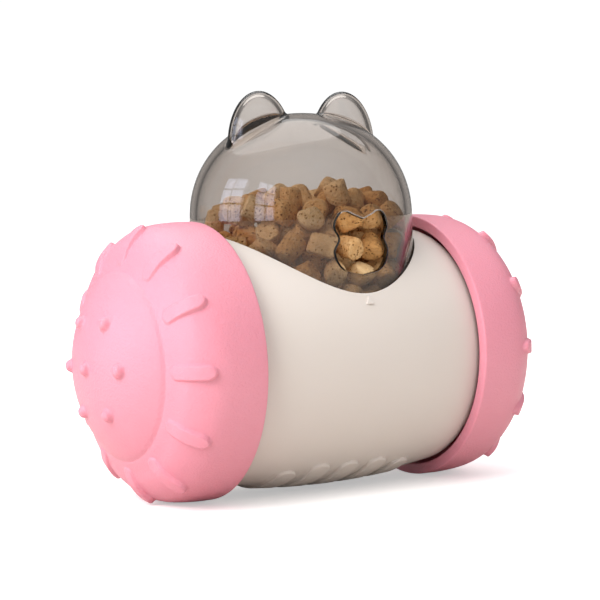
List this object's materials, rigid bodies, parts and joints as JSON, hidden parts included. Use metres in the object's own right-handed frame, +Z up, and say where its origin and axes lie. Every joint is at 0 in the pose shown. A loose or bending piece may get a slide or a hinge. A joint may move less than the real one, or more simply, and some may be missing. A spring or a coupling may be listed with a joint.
{
  "type": "wobble treat dispenser",
  "caption": "Weighted barrel between two free-turning cup wheels, with a see-through domed head of dry treats that lifts off and an ear-shaped outlet.",
  "frame": {"origin": "on the floor under the middle of the barrel", "axes": "+X along the wheels' axle, -Y to the front where the outlet is, +Z up"},
  "size_m": [0.1858, 0.1006, 0.1474],
  "materials": {
    "cream_abs": "satin moulded ABS",
    "pink_tpr": "matte thermoplastic rubber with a fine pebble grain",
    "rose_abs": "plain moulded ABS",
    "smoke_polycarbonate": "clear polished polycarbonate with a smoke tint",
    "grey_abs": "plain moulded ABS",
    "clear_silicone": "satin silicone",
    "cast_weight": "as cast, dull",
    "zinc_steel": "zinc plated",
    "dry_food": "baked, dry and porous"
  },
  "bodies": {
    "root": {"barrel_shell": "cream_abs", "barrel_end_left": "cream_abs", "barrel_end_right": "cream_abs", "end_screws_left": "zinc_steel", "end_screws_right": "zinc_steel", "axle_washer_left": "zinc_steel", "axle_washer_right": "zinc_steel", "axle_screw_left": "zinc_steel", "axle_screw_right": "zinc_steel", "counterweight": "cast_weight", "weight_clamp": "grey_abs", "weight_clamp_screws": "zinc_steel", "treat_hopper": "cream_abs", "hopper_screws": "zinc_steel", "treats": "dry_food"},
    "left_wheel": {"wheel_tread_left": "pink_tpr", "wheel_core_left": "rose_abs"},
    "right_wheel": {"wheel_tread_right": "pink_tpr", "wheel_core_right": "rose_abs"},
    "seal": {"head_seal": "clear_silicone"},
    "head": {"treat_head": "smoke_polycarbonate"}
  },
  "joints": [
    {"name": "left_wheel_spin", "type": "hinge", "parent": "root", "child": "left_wheel", "pos_m": [0, 0, 0.0503], "axis": [1, 0, 0], "continuous": true},
    {"name": "right_wheel_spin", "type": "hinge", "parent": "root", "child": "right_wheel", "pos_m": [0, 0, 0.0503], "axis": [1, 0, 0], "continuous": true},
    {"name": "head_lift", "type": "slide", "parent": "root", "child": "seal", "axis": [0, 0, 1], "range_m": [0, 0.064]},
    {"name": "head_twist", "type": "hinge", "parent": "seal", "child": "head", "pos_m": [0, 0, 0.06], "axis": [0, 0, 1], "range_deg": [0, 35]}
  ]
}
